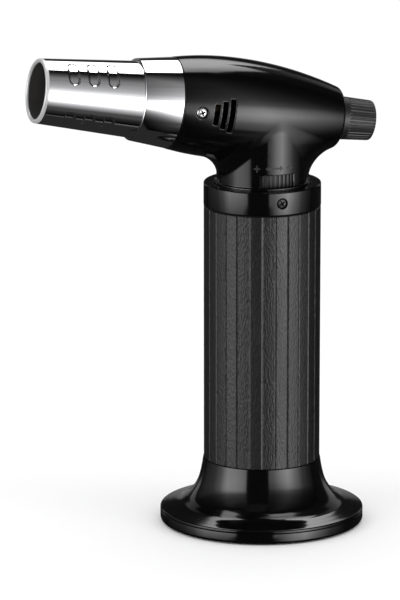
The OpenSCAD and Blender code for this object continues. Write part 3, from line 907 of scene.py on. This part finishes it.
def slot_depth(r, z, a):
    """Pressed slots round the nozzle, as a change of its radius. Angle 0 is the top of the tube."""
    press_in = np.zeros_like(r)
    for middle in SLOT_MIDDLES:
        turn = (a - middle + math.pi) % TAU - math.pi
        over = np.maximum(np.abs(turn * r) - (SLOT_ARC_HALF * r - SLOT_HALF_WIDTH), 0)
        for s in SLOTS:
            past_edge = np.hypot(over, z - s) - SLOT_HALF_WIDTH
            press_in = np.maximum(press_in, np.clip(0.5 - past_edge / SLOT_WALL, 0, 1))
    press_in = press_in ** 2 * (3 - 2 * press_in)
    on_tube = (z > 55) & (z < 84.5) & (r > tube_radius(z) - 0.3)
    return np.where(on_tube, -SLOT_DEPTH * press_in, 0.0)


def nozzle_tube():
    """Tapered tube with pressed slots and a wide rolled lip at its mouth."""
    steps = 150
    stations = np.linspace(SLEEVE_FRONT - 0.4, MOUTH - 1.2, steps)
    outer = [(float(tube_radius(s)), float(s)) for s in stations]
    lip = arc(MOUTH_R - LIP_R, MOUTH - LIP_R, LIP_R, 0, 190, 18)
    inner = [(MOUTH_R - 1.3, MOUTH - 3.5), (MOUTH_R - 1.0, MOUTH - 7), (12.85, SLEEVE_FRONT),
             (12.85, 40.2)]
    outline = [(TUBE_R, 40.2)] + outer + lip + inner
    return lathe("nozzle_tube_piece", outline, 420, AXIS, shift=slot_depth)


def finish_mouth(tube):
    """Gives the inside of the nozzle a darker, duller steel, and the rolled lip a satin one."""
    tube.data.materials.append(MATERIALS["lip_steel"])
    inverse = AXIS.inverted()
    for face in tube.data.polygons:
        c = inverse @ (face.center / MM)
        if c.z > MOUTH - 1.3:
            face.material_index = 2
        elif math.hypot(c.x, c.y) < float(tube_radius(c.z)) - 0.75:
            face.material_index = 1


place(nozzle_collar(), "chrome", "torch", "nozzle_collar")
finish_mouth(place(nozzle_tube(), "chrome", "torch", "nozzle_tube", inside="burner_steel"))


# ---------------------------------------------------------------- ignition button
BUTTON_RIBS, BUTTON_RIB_DEPTH = 36, 0.24
BUTTON_ROOT, BUTTON_END = -29.9, -41.5


def button_radius(s):
    """Radius of the button's side, which narrows towards its end."""
    return 7.85 - 0.0517 * (BUTTON_ROOT - np.asarray(s))


def button_ribs(r, z, a):
    """Fine grip ribs along the button, as a change of its radius."""
    rib = np.abs(((a * BUTTON_RIBS / TAU) % 1) - 0.5) * 2
    depth = BUTTON_RIB_DEPTH * np.clip((rib - 0.5) / 0.3, 0, 1)
    ends = np.clip((z + 40.9) / 0.4, 0, 1) * np.clip((-31.2 - z) / 0.4, 0, 1)
    return np.where(r > button_radius(z) - 0.3, -depth * ends, 0.0)


def ignition_button():
    """Hollow push button: its guide inside the head, its ribbed side and its domed end."""
    skirt = [(0.0, -34.0), (3.05, -34.0), (3.05, -31.0), (6.2, -31.0), (6.2, -22.4), (9.0, -22.4),
             (9.0, -24.2), (7.9, -24.2), (7.9, BUTTON_ROOT)]
    side = [(float(button_radius(s)), float(s)) for s in np.linspace(BUTTON_ROOT - 0.3, -41.0, 26)]
    end = [(7.24, -41.15), (7.15, -41.31), (6.98, -41.41), (6.6, -41.45), (4.0, -41.48),
           (2.0, BUTTON_END), (0.0, BUTTON_END - 0.02)]
    return lathe("ignition_button_piece", skirt + side + end, 448, AXIS, shift=button_ribs)


place(ignition_button(), "dark_grey", "button", "ignition_button")


def spring(name, r, wire_r, start, end, turns, matrix=UP):
    """A coil of round wire from start to end along local Z."""
    sides, steps = 10, 24
    verts = []
    rise = (end - start - 2 * wire_r) / turns
    slope = math.atan2(rise, TAU * r)
    for i in range(turns * steps + 1):
        a = i * TAU / steps
        out = np.array((math.cos(a), math.sin(a), 0))
        across_wire = np.array((-math.sin(a) * math.sin(slope), math.cos(a) * math.sin(slope),
                                -math.cos(slope)))
        middle = r * out + np.array((0, 0, start + wire_r + rise * i / steps))
        for k in range(sides):
            q = k * TAU / sides
            verts.append(middle + wire_r * (math.cos(q) * out + math.sin(q) * across_wire))
    last = turns * steps * sides
    faces = [list(range(sides)), list(range(last, last + sides))]
    for i in range(0, last, sides):
        for k in range(sides):
            q = (k + 1) % sides
            faces.append([i + k, i + q, i + sides + q, i + sides + k])
    return build(name, verts, faces, matrix, sharp=50)


def squashing_spring(obj, node):
    """Gives a spring its material and the torch's body, and a mesh of its own."""
    place(obj, "spring_steel", "torch", node)
    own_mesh(obj)


BUTTON_WALL, PIEZO_END = -30.93, -18.07
STEM_TOP, SPRING_SEAT = 21.47, 30.93
return_spring = spring("return_spring_piece", 4.2, 0.38, BUTTON_WALL, PIEZO_END, 6, AXIS)
squashing_spring(return_spring, "return_spring")
refill_spring = spring("refill_spring_piece", 1.95, 0.28, STEM_TOP, SPRING_SEAT, 6)
squashing_spring(refill_spring, "refill_spring")


# ---------------------------------------------------------------- camera
scene = bpy.context.scene
scene.view_settings.view_transform = "Standard"
scene.view_settings.look = "None"
VIEW_AZ, VIEW_EL = math.radians(-19.24), math.radians(13.35)


def towards(azimuth, elevation):
    """Unit vector towards a place seen from the middle of the scene, from angles in radians."""
    level = math.cos(elevation)
    return Vector((math.sin(azimuth) * level, -math.cos(azimuth) * level, math.sin(elevation)))


back = towards(VIEW_AZ, VIEW_EL)
across = Vector((math.cos(VIEW_AZ), math.sin(VIEW_AZ), 0))
upward = back.cross(across)
camera = add_object("camera", bpy.data.cameras.new("camera"))
camera.data.sensor_width = 36
camera.data.lens = 328.42
camera.data.clip_end = 50
camera.location = (across * -22.44 + upward * 79.75) * MM + back * 2.0
camera.rotation_mode = "QUATERNION"
camera.rotation_quaternion = back.to_track_quat("Z", "Y")
scene.camera = camera


# ---------------------------------------------------------------- light
def emitter():
    """Emission whose strength is the mesh's own glow attribute."""
    mat = bpy.data.materials.new("soft_panel")
    mat.use_nodes = True
    t = mat.node_tree
    t.nodes.clear()
    out = t.nodes.new("ShaderNodeOutputMaterial")
    e = t.nodes.new("ShaderNodeEmission")
    a = t.nodes.new("ShaderNodeAttribute")
    a.attribute_name = "glow"
    t.links.new(a.outputs["Fac"], e.inputs["Strength"])
    t.links.new(e.outputs[0], out.inputs[0])
    return mat


GLOW = emitter()
MIDDLE = Vector((0, 0, 0.1))
# Distance of the panels from MIDDLE, in metres, and their points along each side
PANEL_DISTANCE, PANEL_POINTS = 4.0, 90


def glowing(name, points, glow):
    """A panel over a grid of points, in metres, seen only in reflections."""
    nu, nv = glow.shape
    idx = np.arange(nu * nv).reshape(nu, nv)
    faces = np.stack([idx[:-1, :-1], idx[1:, :-1], idx[1:, 1:], idx[:-1, 1:]], -1).reshape(-1, 4)
    mesh = bpy.data.meshes.new(name)
    mesh.from_pydata((points.reshape(-1, 3) + np.array(MIDDLE)).tolist(), [], faces.tolist())
    attribute = mesh.attributes.new("glow", "FLOAT", "POINT")
    attribute.data.foreach_set("value", glow.reshape(-1).astype(np.float32))
    mesh.materials.append(GLOW)
    obj = add_object(name, mesh)
    obj.visible_camera = False
    obj.visible_diffuse = False
    obj.visible_transmission = False
    obj.visible_shadow = False


def wall(name, az, el, glow):
    """A curved panel, whose brightness at each azimuth and elevation is glow(azimuth, elevation).

    az and el are ranges in degrees. Azimuth runs from the camera round to its right.
    """
    a, e = np.meshgrid(np.linspace(*az, PANEL_POINTS), np.linspace(*el, PANEL_POINTS), indexing="ij")
    turn, rise = np.radians(a) + VIEW_AZ, np.radians(e)
    points = np.stack([np.sin(turn) * np.cos(rise), -np.cos(turn) * np.cos(rise), np.sin(rise)], -1)
    glowing(name, points * PANEL_DISTANCE, glow(a, e))


def ceiling(name, corners, glow):
    """A flat panel overhead. Its four corners are (right, away) in the camera's view, at height 1."""
    share = np.linspace(0, 1, PANEL_POINTS)
    u, v = np.meshgrid(share, share, indexing="ij")
    c = [np.array(q, float) for q in corners]
    u3, v3 = u[..., None], v[..., None]
    flat = (c[0] * (1 - u3) + c[1] * u3) * (1 - v3) + (c[3] * (1 - u3) + c[2] * u3) * v3
    away = Vector((across.y, -across.x, 0)) * -1
    points = flat[..., :1] * np.array(across) + flat[..., 1:] * np.array(away) + np.array((0, 0, 1))
    glowing(name, points * PANEL_DISTANCE, glow(u, v))


def fade(x, *steps):
    """Brightness that runs straight from step to step of (place, brightness)."""
    places, values = zip(*steps)
    return np.interp(x, places, values)


def right_glow(a, e):
    """The right panel. Its left edge is soft low down and sharp from just below eye level up."""
    in_middle = fade(a, (22, 0), (34, 1), (47, 1), (60, 0))
    low_part = fade(e, (-75, 0), (-60, 0.03), (-45, 0.07), (-35, 0.19), (-25, 0.38), (-15, 0.63),
                    (-5, 1))
    middle_low = fade(e, (-75, 0), (-56, 0.005), (-52, 0.04), (-44, 0.03), (-41, 0.02), (-38, 0.17),
                      (-25, 0.33), (-15, 0.75), (-5, 1))
    rise = in_middle * middle_low + (1 - in_middle) * low_part
    rise *= fade(e, (-5, 1), (5, 0.82), (15, 0.26), (25, 0.12), (35, 0.075), (45, 0.05), (55, 0.035),
                 (65, 0.02), (75, 0.01), (85, 0))
    edge = fade(e, (-40, 36), (-14, 10), (-12.3, 1.5))
    rise *= np.clip((a - 12) / edge, 0, 1)
    along = fade(a, (12, 0.28), (22, 0.36), (37, 0.8), (50, 1.1), (67, 0.5), (82, 0.13), (97, 0.04),
                 (112, 0))
    return 5.6 * rise * along


def left_glow(a, e):
    """The left panel. Its right edge is soft low down and sharp from just below eye level up."""
    edge = fade(e, (-23, 20), (-14, 9), (-12.3, 2))
    rise = fade(e, (-28, 0), (-23, 0.05), (-15, 0.4), (-5, 0.85), (5, 1), (15, 0.9), (25, 0.22),
                (35, 0.11), (45, 0.07), (60, 0))
    along = fade(a, (-140, 0), (-113, 0.06), (-98, 0.11), (-83, 0.33), (-68, 1), (-53, 0.95),
                 (-38, 0.75), (-28, 0.5))
    return 4.6 * rise * np.clip((-28 - a) / edge, 0, 1) * along


def top_glow(u, v):
    """The panel overhead. u runs from its left to its right, and v away from the camera."""
    return (5.6 * fade(u, (0, 0), (0.04, 0.6), (0.3, 0.9), (0.75, 1), (0.96, 0.6), (1, 0))
            * fade(v, (0, 0), (0.05, 0.6), (0.25, 1), (0.6, 0.68), (0.85, 0.4), (1, 0)))


def low_glow(a, e):
    """Two thin lines low down, for the streaks in the nozzle's dark zone."""
    return (0.3 * fade(a, (32, 0), (42, 1), (80, 1), (96, 0))
            * fade(e, (-80, 0.1), (-73, 0.8), (-69, 0.05), (-62, 0), (-58, 0.7), (-54, 0.1),
                   (-48, 0.1), (-42, 0)))


def over_glow(a, e):
    """A faint band high up."""
    return (0.1 * fade(a, (-60, 0), (-40, 1), (70, 1), (90, 0))
            * fade(e, (45, 0), (52, 1), (74, 1), (80, 0)))


def strip_glow(a, e):
    """An upright strip behind. a is measured from its middle."""
    return (0.5 * fade(a, (-10, 0), (-7, 1), (7, 1), (10, 0))
            * fade(e, (-10, 0), (0, 1), (20, 0.8), (48, 0)))


def back_glow(a, e):
    """A low band straight behind."""
    return (0.3 * fade(a, (165, 0), (175, 1), (195, 1), (205, 0))
            * fade(e, (-12, 0), (-8, 1), (6, 1), (10, 0)))


wall("panel_right", (12, 112), (-75, 85), right_glow)
wall("panel_left", (-140, -28), (-28, 60), left_glow)
ceiling("panel_top", [(-0.6, 0.1), (0.35, 0.0), (0.87, 1.65), (-0.1, 1.8)], top_glow)
wall("panel_low", (32, 96), (-80, -42), low_glow)
wall("panel_over", (-60, 90), (45, 80), over_glow)
for name, at in (("panel_back_left", -143), ("panel_back_right", 149)):
    wall(name, (at - 10, at + 10), (-10, 48), lambda a, e, at=at: strip_glow(a - at, e))
wall("panel_back", (165, 205), (-12, 10), back_glow)


def paper_floor():
    """White paper under the torch, which isn't seen in the glossy surfaces."""
    half = 12
    mesh = bpy.data.meshes.new("floor")
    corners = [(-half, -half, 0), (half, -half, 0), (half, half, 0), (-half, half, 0)]
    mesh.from_pydata(corners, [], [[0, 1, 2, 3]])
    paper = material("floor_paper", (0.93, 0.93, 0.93), 0.9, grain=2.0, bump=0.02, tone=0.01)
    mesh.materials.append(paper)
    floor = add_object("floor", mesh)
    floor.visible_glossy = False


def studio_world(bright, in_gloss):
    """Even white surroundings, which are dim in reflections."""
    world = bpy.data.worlds.new("studio")
    scene.world = world
    world.use_nodes = True
    t = world.node_tree
    t.nodes.clear()
    out = t.nodes.new("ShaderNodeOutputWorld")
    bg = t.nodes.new("ShaderNodeBackground")
    path = t.nodes.new("ShaderNodeLightPath")
    level = t.nodes.new("ShaderNodeMapRange")
    level.inputs["To Min"].default_value = bright
    level.inputs["To Max"].default_value = in_gloss
    t.links.new(path.outputs["Is Glossy Ray"], level.inputs["Value"])
    t.links.new(level.outputs["Result"], bg.inputs["Strength"])
    t.links.new(bg.outputs[0], out.inputs[0])
    bg.inputs["Color"].default_value = (1, 1, 1, 1)


def softbox(name, azimuth, elevation, power):
    """A round area light that shapes the dull surfaces and isn't seen in the glossy ones."""
    size, distance = 0.9, 1.6
    light = bpy.data.lights.new(name, "AREA")
    light.shape = "DISK"
    light.size = size
    light.energy = power
    obj = add_object(name, light)
    direction = towards(math.radians(azimuth), math.radians(elevation))
    obj.location = direction * distance + MIDDLE
    obj.rotation_mode = "QUATERNION"
    obj.rotation_quaternion = direction.to_track_quat("Z", "Y")
    obj.visible_glossy = False


paper_floor()
studio_world(1.03, 0.022)
softbox("key", -75, 40, 3)
softbox("fill", 45, 35, 3)
